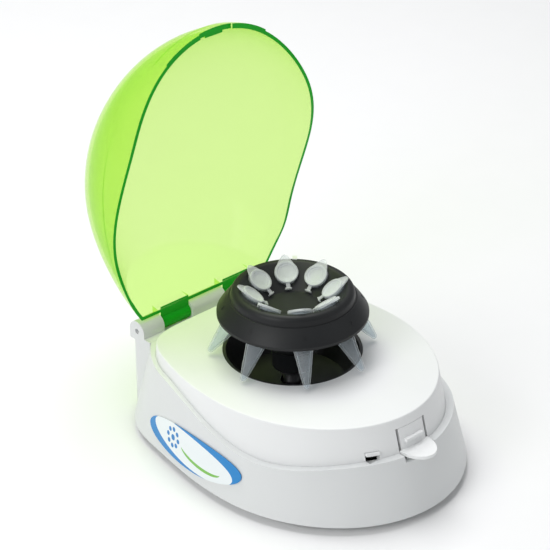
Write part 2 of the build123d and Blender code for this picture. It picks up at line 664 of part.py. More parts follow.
def make_motor_cap():
    cap = rod(0, 0, floor_top + 1, floor_top + 1 + MOTOR_CAP, MOTOR_RADIUS - 1.0)
    return cap.cut(*[box(x - 1.6, x + 1.6, -5, -3.5, 0, DECK_TOP) for x in (-6, 6)])


def make_motor_terminals():
    low = floor_top + 0.4
    return Compound([box(x - 1.5, x + 1.5, -4.9, -3.6, low, floor_top + 1 + MOTOR_CAP) for x in (-6, 6)])


def make_bush():
    return rod(0, 0, plate_z, plate_z + 3.5, BUSH_RADIUS) - rod(0, 0, 0, DECK_TOP, SHAFT_RADIUS + SHAFT_FIT)


def make_motor_plate():
    plate = rod(0, 0, plate_z, plate_z + PLATE_THICKNESS, PLATE_RADIUS)
    holes = [rod(x, y, 0, DECK_TOP, GROMMET_NECK) for x, y in pillar_places]
    holes += [rod(x, 0, 0, DECK_TOP, 1.3) for x in (-9, 9)]
    return plate.cut(rod(0, 0, 0, DECK_TOP, 5.1), *holes)


def make_motor_screws():
    top = plate_z + PLATE_THICKNESS
    return Compound([screw(x, 0, top, 6.0, 1.2, 2.2, 1.4, False) for x in (-9, 9)])


def make_grommets():
    """Rubber rings that hang the motor plate on its three pillars."""
    bore = SCREW_RADIUS + SCREW_CLEARANCE
    top = plate_z + PLATE_THICKNESS
    rings = []
    for x, y in pillar_places:
        ring = rod(x, y, plate_z - GROMMET_FLANGE, plate_z, GROMMET_RADIUS)
        ring += rod(x, y, plate_z, top, GROMMET_NECK)
        ring += rod(x, y, top, top + GROMMET_FLANGE, GROMMET_RADIUS)
        rings.append(ring - rod(x, y, 0, DECK_TOP, bore))
    return Compound(rings)


def make_motor_mount_screws():
    z = plate_z + PLATE_THICKNESS + GROMMET_FLANGE
    return Compound([
        screw(x, y, z, 13.0, SCREW_RADIUS, SCREW_HEAD_RADIUS, SCREW_HEAD, False) for x, y in pillar_places
    ])


def make_shaft():
    return rod(0, 0, plate_z - 10, drive_top - 2, SHAFT_RADIUS)


def make_drive_hub():
    """The collar on the motor shaft that the rotor pushes onto."""
    hub = turned([
        (SHAFT_RADIUS, bowl_floor_z - 1),
        (DRIVE_RADIUS, bowl_floor_z - 1),
        (DRIVE_RADIUS, rotor_seat_z - 2.5),
        (HUB_RADIUS - 2.5, rotor_seat_z - 2.5),
        (HUB_RADIUS - 2.5, rotor_seat_z),
        (DRIVE_RADIUS, rotor_seat_z),
        (DRIVE_RADIUS, ring_z - 1.1),
        (DRIVE_RADIUS - 1.2, ring_z - 1.1),
        (DRIVE_RADIUS - 1.2, ring_z + 1.1),
        (DRIVE_RADIUS, ring_z + 1.1),
        (DRIVE_RADIUS, drive_top - 1),
        (DRIVE_RADIUS - 1, drive_top),
        (SHAFT_RADIUS, drive_top),
    ])
    return hub


def make_grip_ring():
    """O-ring in the hub's groove that holds the rotor on."""
    return Pos(0, 0, ring_z) * Torus(DRIVE_RADIUS - 0.6, 0.6)


# ---------------------------------------------------------------- rotor
def dish_height(radius):
    """Height of the rotor's conical dish, square to the tubes."""
    return seat_z + (radius - seat_r) * tan(tilt)


def place_frames():
    """The eight tube axes: local +Z from the tip to the cap, local +X up and outwards."""
    frames = []
    for k in range(PLACES):
        turn = radians(FIRST_PLACE_ANGLE + 360 / PLACES * k)
        out = Vector(cos(turn), sin(turn), 0)
        tip = out * TUBE_TIP_RADIUS + Vector(0, 0, DECK_TOP + TUBE_TIP_Z)
        up_axis = out * -sin(tilt) + Vector(0, 0, cos(tilt))
        outward = out * cos(tilt) + Vector(0, 0, sin(tilt))
        frames.append(Plane(origin=tip, x_dir=outward, z_dir=up_axis))
    return frames


def make_rotor():
    """Eight-place rotor: dish, bead, sloping skirt, and a hub with the drive bore."""
    edge_z = DECK_TOP + FLANGE_Z
    bead_top = DECK_TOP + BEAD_TOP
    bead_in = BEAD_RADIUS - 4.8
    bead_out = BEAD_RADIUS + 0.4
    groove = BEAD_RADIUS + 0.9
    bore = DRIVE_RADIUS + DRIVE_FIT
    bore_top = drive_top + 1
    under_edge = (FLANGE_RADIUS - 1.2, edge_z - 0.2)
    under_hub = (HUB_RADIUS, under_edge[1] - (under_edge[0] - HUB_RADIUS) * tan(tilt))

    def at(radius, z):
        return Vector(radius, 0, z)

    dish_edge = at(bead_in, dish_height(bead_in))
    bead_foot = at(bead_out, bead_top - 2.2)
    groove_low = at(groove, bead_top - 4.7)
    skirt_start = at(groove + 0.8, bead_top - 4.8)
    skirt_end = at(FLANGE_RADIUS, edge_z + FLANGE_EDGE)
    outline = Wire([
        Edge.make_line(at(0, dish_height(DISC_RADIUS)), at(DISC_RADIUS, dish_height(DISC_RADIUS))),
        Edge.make_line(at(DISC_RADIUS, dish_height(DISC_RADIUS)), dish_edge),
        Edge.make_three_point_arc(dish_edge, at((bead_in + bead_out) / 2, bead_top + 0.5), bead_foot),
        Edge.make_line(bead_foot, groove_low),
        Edge.make_line(groove_low, skirt_start),
        Edge.make_three_point_arc(
            skirt_start, (skirt_start + skirt_end) / 2 + Vector(0.2, 0, 0.2), skirt_end
        ),
        Edge.make_line(skirt_end, at(FLANGE_RADIUS, edge_z)),
        Edge.make_line(at(FLANGE_RADIUS, edge_z), at(*under_edge)),
        Edge.make_line(at(*under_edge), at(*under_hub)),
        Edge.make_line(at(*under_hub), at(HUB_RADIUS, rotor_seat_z)),
        Edge.make_line(at(HUB_RADIUS, rotor_seat_z), at(bore, rotor_seat_z)),
        Edge.make_line(at(bore, rotor_seat_z), at(bore, bore_top)),
        Edge.make_line(at(bore, bore_top), at(0, bore_top)),
        Edge.make_line(at(0, bore_top), at(0, dish_height(DISC_RADIUS))),
    ])
    body = revolve(Face(outline), Axis.Z)
    hole = Cylinder(TUBE_RADIUS + TUBE_FIT, 3 * TUBE_LENGTH)
    rim_seat = rod(0, 0, tube_seat, TUBE_LENGTH + 6, CAP_RADIUS + TUBE_FIT)
    cuts = []
    for frame in place_frames():
        cuts.append(frame.location * hole)
        cuts.append(frame.location * rim_seat)
    return body.cut(*cuts, index_shape(0.0))


def index_shape(clearance):
    """A short radial bar let into the top of the bead."""
    bar = box(
        BEAD_RADIUS - 3.2 - clearance, BEAD_RADIUS + 0.4, -1.3, 1.3,
        DECK_TOP + BEAD_TOP - 1.2, DECK_TOP + BEAD_TOP + 1.2,
    )
    return Rot(0, 0, INDEX_ANGLE) * bar


def make_tube():
    """A 1.5 ml tube, tip centre at the local origin, mouth up."""
    def at(radius, z):
        return Vector(radius, 0, z)

    def tip_arc(radius, flat):
        middle = at(flat + (radius - flat) * cos(pi / 4), -radius * sin(pi / 4))
        return at(flat, -radius), middle, at(radius, 0)

    inner_tip = TUBE_TIP - 0.9
    outer_low, outer_middle, outer_high = tip_arc(TUBE_TIP, TUBE_TIP_FLAT)
    inner_low, inner_middle, inner_high = tip_arc(inner_tip, TUBE_TIP_FLAT / 2)
    outline = Wire([
        Edge.make_line(at(0, -TUBE_TIP), outer_low),
        Edge.make_three_point_arc(outer_low, outer_middle, outer_high),
        Edge.make_line(at(TUBE_TIP, 0), at(TUBE_RADIUS - 0.4, TUBE_CONE)),
        Edge.make_line(at(TUBE_RADIUS - 0.4, TUBE_CONE), at(TUBE_RADIUS, tube_seat)),
        Edge.make_line(at(TUBE_RADIUS, tube_seat), at(CAP_RADIUS, tube_seat)),
        Edge.make_line(at(CAP_RADIUS, tube_seat), at(CAP_RADIUS, tube_mouth)),
        Edge.make_line(at(CAP_RADIUS, tube_mouth), at(TUBE_RADIUS - TUBE_WALL, tube_mouth)),
        Edge.make_line(
            at(TUBE_RADIUS - TUBE_WALL, tube_mouth), at(TUBE_RADIUS - TUBE_WALL - 0.4, TUBE_CONE)
        ),
        Edge.make_line(at(TUBE_RADIUS - TUBE_WALL - 0.4, TUBE_CONE), at(inner_tip, 0)),
        Edge.make_three_point_arc(inner_high, inner_middle, inner_low),
        Edge.make_line(inner_low, at(0, -inner_tip)),
        Edge.make_line(at(0, -inner_tip), at(0, -TUBE_TIP)),
    ])
    return revolve(Face(outline), Axis.Z)


def make_cap():
    """Snap cap with a plug, a finger tab outwards and a strap that folds back to the rim."""
    lid_disc = rod(0, 0, tube_mouth, TUBE_LENGTH, CAP_RADIUS)
    tab_end = CAP_RADIUS + 2.6
    tangent = 0.55 * CAP_RADIUS
    tab = Wire.make_polygon([
        Vector(CAP_RADIUS * 0.62, -CAP_RADIUS * 0.78, tube_mouth),
        Vector(tab_end, -tangent * 0.62, tube_mouth),
        Vector(tab_end + 1.4, 0, tube_mouth),
        Vector(tab_end, tangent * 0.62, tube_mouth),
        Vector(CAP_RADIUS * 0.62, CAP_RADIUS * 0.78, tube_mouth),
    ], close=True)
    disc = lid_disc + Solid.extrude(Face(tab), Vector(0, 0, CAP_THICKNESS))
    well = rod(0, 0, TUBE_LENGTH - 0.5, TUBE_LENGTH + 1, CAP_RADIUS - 1.6)
    step = rod(0, 0, TUBE_LENGTH - 1.0, TUBE_LENGTH + 1, CAP_RADIUS - 3.0)
    plug_radius = TUBE_RADIUS - TUBE_WALL - TUBE_FIT
    plug = rod(0, 0, tube_mouth - 2.6, tube_mouth, plug_radius) - rod(
        0, 0, tube_mouth - 3, tube_mouth - 0.2, plug_radius - 1
    )
    reach = CAP_RADIUS + 2.8
    strap = box(-reach, -CAP_RADIUS + 0.6, -1.3, 1.3, tube_mouth + 0.4, tube_mouth + 1.1)
    strap += box(-reach, -reach + 0.7, -1.9, 1.9, tube_seat + 0.35, tube_mouth + 1.1)
    strap += box(-reach, -CAP_RADIUS - 0.05, -1.9, 1.9, tube_seat + 0.35, tube_seat + 0.95)
    return (disc - well - step) + plug + strap


# ---------------------------------------------------------------- electronics
def make_board():
    length, width, thickness = BOARD_SIZE
    board = box(-length / 2, length / 2, board_y - width / 2, board_y + width / 2, board_z, board_z + thickness)
    return board.cut(*[rod(x, y, 0, DECK_TOP, BOARD_SCREW_RADIUS + SCREW_CLEARANCE) for x, y in board_posts])


def make_board_screws():
    top = board_z + BOARD_SIZE[2]
    return Compound([screw(x, y, top, 5.6, BOARD_SCREW_RADIUS, 1.9, 1.2, False) for x, y in board_posts])


def make_capacitor():
    top = board_z + BOARD_SIZE[2]
    can = rod(-15, board_y + 2, top, top + 10, 4.0)
    return fillet(can.edges().filter_by(GeomType.CIRCLE).group_by(Axis.Z)[-1], 0.6)


def make_regulator():
    top = board_z + BOARD_SIZE[2]
    chip = box(8, 18, board_y - 2, board_y + 5, top, top + 2.2)
    for k in range(3):
        x = 10 + 3 * k
        chip += box(x - 0.5, x + 0.5, board_y - 4.5, board_y - 2, top, top + 0.5)
    return chip


def make_board_plugs():
    """Two wire sockets at the board's edge."""
    top = board_z + BOARD_SIZE[2]
    plugs = []
    for x in (-3, 3 + 5):
        plug = box(x - 4, x + 4, board_y - 12, board_y - 6.5, top, top + 6)
        plugs.append(plug - box(x - 3, x + 3, board_y - 11, board_y - 7.5, top + 1, top + 7))
    return Compound(plugs)


def make_switch_frame():
    wide, high = SWITCH_SIZE
    frame = box(
        SWITCH_X - wide / 2 - 1.5, SWITCH_X + wide / 2 + 1.5, REAR, REAR + 1.5,
        fitting_z - high / 2 - 1.5, fitting_z + high / 2 + 1.5,
    )
    frame = fillet(frame.edges().group_by(Axis.Y)[-1], 0.6)
    frame += box(
        SWITCH_X - wide / 2, SWITCH_X + wide / 2, REAR - 14, REAR + 0.5,
        fitting_z - high / 2, fitting_z + high / 2,
    )
    frame -= box(
        SWITCH_X - ROCKER_HALF_WIDTH - 0.3, SWITCH_X + ROCKER_HALF_WIDTH + 0.3, REAR - 12.5, REAR + 3,
        fitting_z - 8.3, fitting_z + 8.3,
    )
    pin = ROCKER_HALF_WIDTH + 1.1
    return frame - bar_along_x(SWITCH_X - pin, SWITCH_X + pin, REAR - 5, fitting_z, 1.05)


def make_rocker():
    """The power rocker, tipped to off."""
    corners = [(-3, -7), (-3, 7), (5.2, 7), (4.2, 0), (5.2, -7)]
    x = SWITCH_X - ROCKER_HALF_WIDTH
    outline = Wire.make_polygon([Vector(x, REAR - 5 + y, fitting_z + z) for y, z in corners], close=True)
    rocker = Solid.extrude(Face(outline), Vector(2 * ROCKER_HALF_WIDTH, 0, 0))
    pin = ROCKER_HALF_WIDTH + 1.0
    rocker += bar_along_x(SWITCH_X - pin, SWITCH_X + pin, REAR - 5, fitting_z, 1.0)
    return rocker.rotate(Axis((SWITCH_X, REAR - 5, fitting_z), (1, 0, 0)), -ROCKER_TILT)


def make_inlet():
    body = bar_along_y(INLET_X, REAR - 13, REAR + 1.5, fitting_z, INLET_RADIUS - 0.1)
    body += bar_along_y(INLET_X, REAR, REAR + 1.5, fitting_z, INLET_RADIUS + 2)
    socket = bar_along_y(INLET_X, REAR - 9, REAR + 2, fitting_z, SOCKET_RADIUS)
    return body - socket - bar_along_y(INLET_X, REAR - 11, REAR, fitting_z, 1.0)


def make_inlet_pin():
    return bar_along_y(INLET_X, REAR - 11, REAR + 0.2, fitting_z, 1.0)


def make_inlet_nut():
    nut = Pos(INLET_X, REAR - WALL, fitting_z) * Rot(90, 0, 0) * extrude(RegularPolygon(INLET_RADIUS + 3, 6), 3)
    return nut - bar_along_y(INLET_X, REAR - 10, REAR, fitting_z, INLET_RADIUS)


# ---------------------------------------------------------------- assembly
pieces = {
    "lower_housing": make_tray(),
    "upper_housing": make_deck(),
    "latch_tongue": make_tongue(),
    "interlock_bar": make_bar(),
    "microswitch": make_microswitch(),
    "microswitch_bracket": make_switch_bracket(),
    "lid": make_lid(),
    "hinge_pins": make_hinge_pins(),
    "housing_screws": make_housing_screws(),
    "oval_badge": make_badge(),
    "rotor_bowl": make_bowl(),
    "bowl_screws": make_bowl_screws(),
    "motor_can": make_motor_can(),
    "motor_end_cap": make_motor_cap(),
    "motor_terminals": make_motor_terminals(),
    "motor_bush": make_bush(),
    "motor_plate": make_motor_plate(),
    "motor_screws": make_motor_screws(),
    "motor_grommets": make_grommets(),
    "motor_mount_screws": make_motor_mount_screws(),
    "motor_shaft": make_shaft(),
    "drive_hub": make_drive_hub(),
    "rotor_grip_ring": make_grip_ring(),
    "rotor": make_rotor(),
    "rotor_index_mark": index_shape(0.0),
    "circuit_board": make_board(),
    "board_screws": make_board_screws(),
    "board_capacitor": make_capacitor(),
    "board_regulator": make_regulator(),
    "board_sockets": make_board_plugs(),
    "power_switch_frame": make_switch_frame(),
    "power_rocker": make_rocker(),
    "power_inlet": make_inlet(),
    "power_inlet_pin": make_inlet_pin(),
    "power_inlet_nut": make_inlet_nut(),
}
for number, foot in enumerate(make_feet(), 1):
    pieces[f"rubber_foot_{number}"] = foot
for number, frame in enumerate(place_frames(), 1):
    pieces[f"microtube_{number}"] = frame.location * make_tube()
    pieces[f"microtube_cap_{number}"] = frame.location * make_cap()

# The open lid's crown is the rearmost point, and the foot's front edge the foremost.
open_crown_y = hinge_y + LID_TOP - hinge_z
to_origin = Pos(0, (FRONT - open_crown_y) / 2, 0)

os.makedirs("parts", exist_ok=True)
for name, piece in pieces.items():
    export_step(to_origin * piece, f"parts/{name}.step")
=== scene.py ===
# %% [markdown]
# # A small laboratory centrifuge
#
# The machine has an egg-shaped white housing, a clear green lid that swings back, and a black
# rotor that carries eight sample tubes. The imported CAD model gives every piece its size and
# place. This script gives the pieces their finishes and models the fine details around them.

# %% Load the frame
import json
from math import cos, pi, radians, sin
import bpy
from mathutils import Matrix, Vector


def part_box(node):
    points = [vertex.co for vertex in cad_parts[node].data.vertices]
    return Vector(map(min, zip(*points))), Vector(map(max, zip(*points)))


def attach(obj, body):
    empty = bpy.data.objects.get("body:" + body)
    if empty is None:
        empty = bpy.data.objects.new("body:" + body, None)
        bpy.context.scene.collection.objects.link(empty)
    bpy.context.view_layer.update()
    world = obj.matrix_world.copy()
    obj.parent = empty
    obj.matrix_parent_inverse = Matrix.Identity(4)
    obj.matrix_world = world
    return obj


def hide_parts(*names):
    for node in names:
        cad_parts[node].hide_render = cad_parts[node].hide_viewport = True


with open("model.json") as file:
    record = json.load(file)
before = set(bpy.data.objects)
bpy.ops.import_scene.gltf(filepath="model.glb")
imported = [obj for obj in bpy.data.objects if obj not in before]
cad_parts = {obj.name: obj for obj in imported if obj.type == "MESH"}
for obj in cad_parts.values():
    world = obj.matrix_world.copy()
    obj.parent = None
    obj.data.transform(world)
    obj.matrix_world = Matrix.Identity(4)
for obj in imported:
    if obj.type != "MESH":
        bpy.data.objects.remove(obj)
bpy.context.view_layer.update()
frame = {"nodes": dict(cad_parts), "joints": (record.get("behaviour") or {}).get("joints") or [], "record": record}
MM = 0.001
print("CAD pieces:", len(frame["nodes"]))

# %% [markdown]
# Every later place is worked out from a few facts of the CAD model: the rotor's axis, the
# deck's height, the hinge and the edge of the rotor's flange.

# %% Read the places that the finishes and details need
hinge = next(joint for joint in frame["joints"] if joint["name"] == "lid_hinge")
hinge_place = Vector(hinge["pos_m"])
rotor_low, rotor_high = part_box("rotor")
axis_y = (rotor_low.y + rotor_high.y) / 2
deck_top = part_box("upper_housing")[1].z
badge_low, badge_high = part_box("oval_badge")
badge_middle = (badge_low + badge_high) / 2
print("rotor axis at y =", round(axis_y, 4), "deck at z =", round(deck_top, 4))

# %% [markdown]
# The camera looks down on the machine from its front left corner with a long lens, so that
# the outlines hardly converge. It comes first, so that everything after it can be looked at.

# %% Camera
VIEW_BACK = Vector((-0.592, -0.639, 0.492)).normalized()
VIEW_TARGET = Vector((74.31 * MM, axis_y + 94.07 * MM, 30.7 * MM))
VIEW_DISTANCE = 1.236
camera_data = bpy.data.cameras.new("camera")
camera_data.lens = 137.45
camera_data.sensor_width = 36
camera = bpy.data.objects.new("camera", camera_data)
camera.location = VIEW_TARGET + VIEW_BACK * VIEW_DISTANCE
camera.rotation_euler = VIEW_BACK.to_track_quat("Z", "Y").to_euler()
bpy.context.scene.collection.objects.link(camera)
bpy.context.scene.camera = camera
print("camera at", [round(c, 3) for c in camera.location])

# %% [markdown]
# White plastic looks right only under broad, soft light. A key light stands on the left, a
# wider one hangs overhead towards the back, a weak one lifts the front, and a pale world
# fills the rest.

# %% Light
def soft_light(name, place, aim, size, power):
    """A square area light that points at a place."""
    data = bpy.data.lights.new(name, "AREA")
    data.size = size
    data.energy = power
    light = bpy.data.objects.new(name, data)
    light.location = place
    light.rotation_euler = (Vector(place) - Vector(aim)).to_track_quat("Z", "Y").to_euler()
    bpy.context.scene.collection.objects.link(light)
    return light


soft_light("top_light", (0.1, 0.45, 1.3), (0, 0, 0), 1.0, 14)
soft_light("key_light", (-1.2, -0.1, 0.75), (0, 0, 0.05), 0.7, 7)
soft_light("front_light", (0.7, -1.1, 0.8), (0, 0, 0.05), 0.7, 0.8)
world = bpy.data.worlds.new("pale_world")
world.use_nodes = True
world.node_tree.nodes["Background"].inputs["Color"].default_value = (0.96, 0.98, 1.0, 1)
world.node_tree.nodes["Background"].inputs["Strength"].default_value = 0.38
bpy.context.scene.world = world
bpy.context.scene.view_settings.view_transform = "Standard"
print("lights:", len(bpy.data.lights))

# %% [markdown]
# A finish is a small graph of nodes. Writing the graph as ordinary maths keeps it readable:
# the class below wraps one socket, `+ - * /` on it add Math nodes, and `add` makes any other
# node from its type, its settings and what goes into its sockets.

# %% Shader maths
class Socket:
    """One output of a material's nodes, which can be used in expressions."""

    def __init__(self, tree, socket=None):
        self.tree = tree
        self.socket = socket

    def add(self, kind, settings=None, sockets=None, out=0):
        """Adds a node, makes its settings first, then fills or links its sockets."""
        node = self.tree.nodes.new("ShaderNode" + kind)
        for name, value in (settings or {}).items():
            if name == "stops":
                for index, (position, grey) in enumerate(value):
                    elements = node.color_ramp.elements
                    stop = elements[index] if index < len(elements) else elements.new(position)
                    stop.position = position
                    stop.color = (grey, grey, grey, 1)
            else:
                setattr(node, name, value)
        for name, value in (sockets or {}).items():
            if isinstance(value, Socket):
                self.tree.links.new(value.socket, node.inputs[name])
            else:
                node.inputs[name].default_value = value
        return Socket(self.tree, node.outputs[out])

    def maths(self, operation, *values):
        return self.add("Math", {"operation": operation}, dict(enumerate(values)))

    def __add__(self, other):
        return self.maths("ADD", self, other)

    def __sub__(self, other):
        return self.maths("SUBTRACT", self, other)

    def __rsub__(self, other):
        return self.maths("SUBTRACT", other, self)

    def __mul__(self, other):
        return self.maths("MULTIPLY", self, other)

    def __truediv__(self, other):
        return self.maths("DIVIDE", self, other)

    def __pow__(self, other):
        return self.maths("POWER", self, other)

    def __lt__(self, other):
        return self.maths("LESS_THAN", self, other)

    def __gt__(self, other):
        return self.maths("GREATER_THAN", self, other)

    __radd__ = __add__
    __rmul__ = __mul__

    def mix(self, first, second):
        """The first colour where this is 0 and the second where it is 1."""
        return self.add("Mix", {"data_type": "RGBA"}, {0: self, 6: first, 7: second}, out=2)


print("shader maths ready")

# %% [markdown]
# Most pieces are moulded plastic. Its colour is nearly even, but a real moulding has a faint
# mottling, a fine grain from the mould and patches that are rubbed a little glossier. All
# three come from noise on the piece's own coordinates.

# %% Moulded plastic and other plain finishes
def colour(red, green, blue):
    return (red, green, blue, 1)


def new_material(name):
    """An empty material and the start of its node graph."""
    material = bpy.data.materials.new(name)
    material.use_nodes = True
    material.node_tree.nodes.clear()
    return material, Socket(material.node_tree)


def end_material(start, shader):
    """Links a finished shader to the material's output."""
    output = start.tree.nodes.new("ShaderNodeOutputMaterial")
    start.tree.links.new(shader.socket, output.inputs["Surface"])


def noise(start, scale, detail=3.0):
    """Noise on the piece's own coordinates; scale is in waves per metre."""
    place = start.add("TexCoord", None, None, out=3)
    return start.add("TexNoise", None, {"Vector": place, "Scale": scale, "Detail": detail})


def plain_finish(name, tone, roughness, grain=2500.0, depth=0.00002, metallic=0.0, mottle=0.04,
                 specular=0.5, coat=0.0):
    """A moulded, turned or painted surface with mottling, rubbed patches and a fine grain."""
    material, start = new_material(name)
    patches = noise(start, 45.0)
    fine = noise(start, grain, 2.0)
    darker = colour(*[part * (1 - mottle) for part in tone])
    lighter = colour(*[min(1.0, part * (1 + mottle)) for part in tone])
    shade = patches.mix(darker, lighter)
    rough = (patches - 0.5) * 0.15 + (fine - 0.5) * 0.06 + roughness
    bump = start.add("Bump", None, {"Height": fine, "Strength": 0.35, "Distance": depth})
    shader = start.add("BsdfPrincipled", None, {
        "Base Color": shade, "Roughness": rough, "Metallic": metallic, "Normal": bump,
        "Specular IOR Level": specular, "Coat Weight": coat,
    })
    end_material(start, shader)
    return material


white_shell = plain_finish("white_shell", (0.72, 0.735, 0.735), 0.38, 2200.0, 0.00003, mottle=0.02)
white_deck = plain_finish("white_deck", (0.84, 0.85, 0.85), 0.42, 2600.0, 0.00003, mottle=0.015)
rotor_black = plain_finish(
    "rotor_black", (0.012, 0.013, 0.014), 0.46, 1800.0, 0.00003, mottle=0.15, specular=0.3
)
bowl_black = plain_finish("bowl_black", (0.024, 0.024, 0.026), 0.38, 1800.0, 0.00004, mottle=0.15)
rubber = plain_finish("rubber", (0.02, 0.02, 0.02), 0.75, 1500.0, 0.00006, mottle=0.2)
black_moulding = plain_finish("black_moulding", (0.02, 0.02, 0.021), 0.4, 1600.0, 0.00004, mottle=0.15)
nylon = plain_finish("nylon", (0.75, 0.72, 0.62), 0.45, 1500.0, 0.00003)
sleeve = plain_finish("capacitor_sleeve", (0.02, 0.04, 0.12), 0.25, 900.0, 0.00001)
steel = plain_finish("steel", (0.56, 0.56, 0.57), 0.28, 4000.0, 0.00001, metallic=1.0)
zinc = plain_finish("zinc", (0.60, 0.61, 0.62), 0.38, 1200.0, 0.00003, metallic=1.0)
brass = plain_finish("brass", (0.72, 0.52, 0.22), 0.25, 3000.0, 0.00001, metallic=1.0)
aluminium = plain_finish("aluminium", (0.78, 0.78, 0.80), 0.3, 3500.0, 0.00001, metallic=1.0)
white_mark = plain_finish("white_mark", (0.82, 0.82, 0.82), 0.4, 2500.0, 0.00001)
print("plain finishes:", len(bpy.data.materials))

# %% [markdown]
# The lid is clear green polycarbonate. Thin clear walls are made here with a Transparent
# shader that tints what is behind, because it lets the lamps through with the same tint and
# stays free of noise. Light that crosses the wall at a slant travels further inside it, so
# the tint deepens there, and the share of light that a smooth surface mirrors grows as the
# fifth power of the slant, which is the usual short form of Fresnel's law.

# %% Clear green lid
def clear_finish(name, tint, slanted_tint, body_tone, body_share, roughness, edge_milk=0.0):
    """Thin clear plastic: tinted see-through, deeper at a slant, glossy, and a little milky."""
    material, start = new_material(name)
    slant = start.add("LayerWeight", None, {"Blend": 0.5}, out=1) ** 2.5
    straight_shader = start.add("BsdfTransparent", None, {"Color": tint})
    slanted_shader = start.add("BsdfTransparent", None, {"Color": slanted_tint})
    through = start.add("MixShader", None, {0: slant, 1: straight_shader, 2: slanted_shader})
    waviness = noise(start, 60.0, 1.0)
    bump = start.add("Bump", None, {"Height": waviness, "Strength": 0.2, "Distance": 0.0002})
    surface = start.add("BsdfPrincipled", None, {
        "Base Color": body_tone, "Roughness": (waviness - 0.5) * 0.04 + roughness, "Normal": bump,
    })
    glint = start.add("LayerWeight", None, {"Blend": 0.5}, out=1) ** 5
    share = glint * (1 - body_share - edge_milk) + slant * edge_milk + body_share
    shader = start.add("MixShader", None, {0: share, 1: through, 2: surface})
    end_material(start, shader)
    return material


lid_clear = clear_finish(
    "lid_clear", colour(0.85, 0.97, 0.60), colour(0.77, 0.95, 0.44), colour(0.55, 0.88, 0.16), 0.07, 0.07
)
lid_edge = plain_finish("lid_edge", (0.005, 0.42, 0.012), 0.45, 900.0, 0.00001, mottle=0.2, specular=0.2)
tube_milky = clear_finish(
    "tube_milky", colour(0.90, 0.93, 0.95), colour(0.82, 0.86, 0.89), colour(0.90, 0.93, 0.95),
    0.10, 0.26, 0.42
)
cap_milky = clear_finish(
    "cap_milky", colour(0.92, 0.94, 0.95), colour(0.85, 0.88, 0.90), colour(0.97, 0.98, 0.99), 0.34, 0.24, 0.3
)
print("clear finishes: lid, tubes and caps")

# %% [markdown]
# The badge is a printed oval. Its print is drawn by formula on the badge's own coordinates:
# a blue border that is thicker at both ends, a pale field, a generic pictogram of the rotor
# as a ring of eight dots, and a plain green swoosh.

# %% Printed badge
def badge_finish():
    material, start = new_material("printed_badge")
    place = start.add("TexCoord", None, None, out=3)
    parts = start.add("SeparateXYZ", None, {"Vector": place})
    along = Socket(start.tree, parts.socket.node.outputs[1]) - badge_middle.y
    up = Socket(start.tree, parts.socket.node.outputs[2]) - badge_middle.z
    turn = radians(3)
    u = along * cos(turn) + up * sin(turn)
    v = up * cos(turn) - along * sin(turn)

    def ellipse(centre_u, centre_v, half_u, half_v):
        """Below 1 inside an ellipse."""
        return ((u - centre_u) / half_u) ** 2 + ((v - centre_v) / half_v) ** 2

    ring = ellipse(0, 0, 33.5 * MM, 9.1 * MM) > 1
    dots = ellipse(15 * MM, 0, 1.7 * MM, 1.7 * MM) < 1
    for step in range(8):
        angle = 2 * pi * step / 8
        dot = ellipse((15 + 4.8 * cos(angle)) * MM, 4.8 * sin(angle) * MM, 1.3 * MM, 1.3 * MM)
        dots = dots + (dot < 1)
    swoosh = (ellipse(-9 * MM, -1.0 * MM, 16 * MM, 4.2 * MM) < 1) * (
        ellipse(-9 * MM, 0.8 * MM, 18 * MM, 4.2 * MM) > 1
    )
    grain = noise(start, 1500.0)
    paper = grain.mix(colour(0.80, 0.86, 0.88), colour(0.86, 0.90, 0.91))
    print_colour = ring.mix(paper, colour(0.0, 0.22, 0.58))
    print_colour = dots.mix(print_colour, colour(0.0, 0.20, 0.55))
    print_colour = swoosh.mix(print_colour, colour(0.20, 0.52, 0.08))
    shader = start.add("BsdfPrincipled", None, {
        "Base Color": print_colour, "Roughness": (grain - 0.5) * 0.1 + 0.3, "Coat Weight": 0.2,
    })
    end_material(start, shader)
    return material


printed_badge = badge_finish()
print("badge finish ready")

# %% [markdown]
# The circuit board is green solder mask over copper tracks. The tracks show as slightly paler
# lines, which a stretched Voronoi pattern with straight cells gives well enough at this size.

# %% Circuit board
def board_finish():
    material, start = new_material("solder_mask")
    place = start.add("TexCoord", None, None, out=3)
    tracks = start.add(
        "TexVoronoi", {"distance": "CHEBYCHEV"}, {"Vector": place, "Scale": 260.0}
    ) > 0.45
    shade = tracks.mix(colour(0.01, 0.10, 0.04), colour(0.02, 0.20, 0.07))
    bump = start.add("Bump", None, {"Height": tracks, "Strength": 0.3, "Distance": 0.00005})
    shader = start.add("BsdfPrincipled", None, {"Base Color": shade, "Roughness": 0.35, "Normal": bump})
    end_material(start, shader)
    return material


solder_mask = board_finish()

# %% [markdown]
# Each CAD piece now gets its finish. The pieces that never show are finished too, because the
# machine can be taken apart on screen.

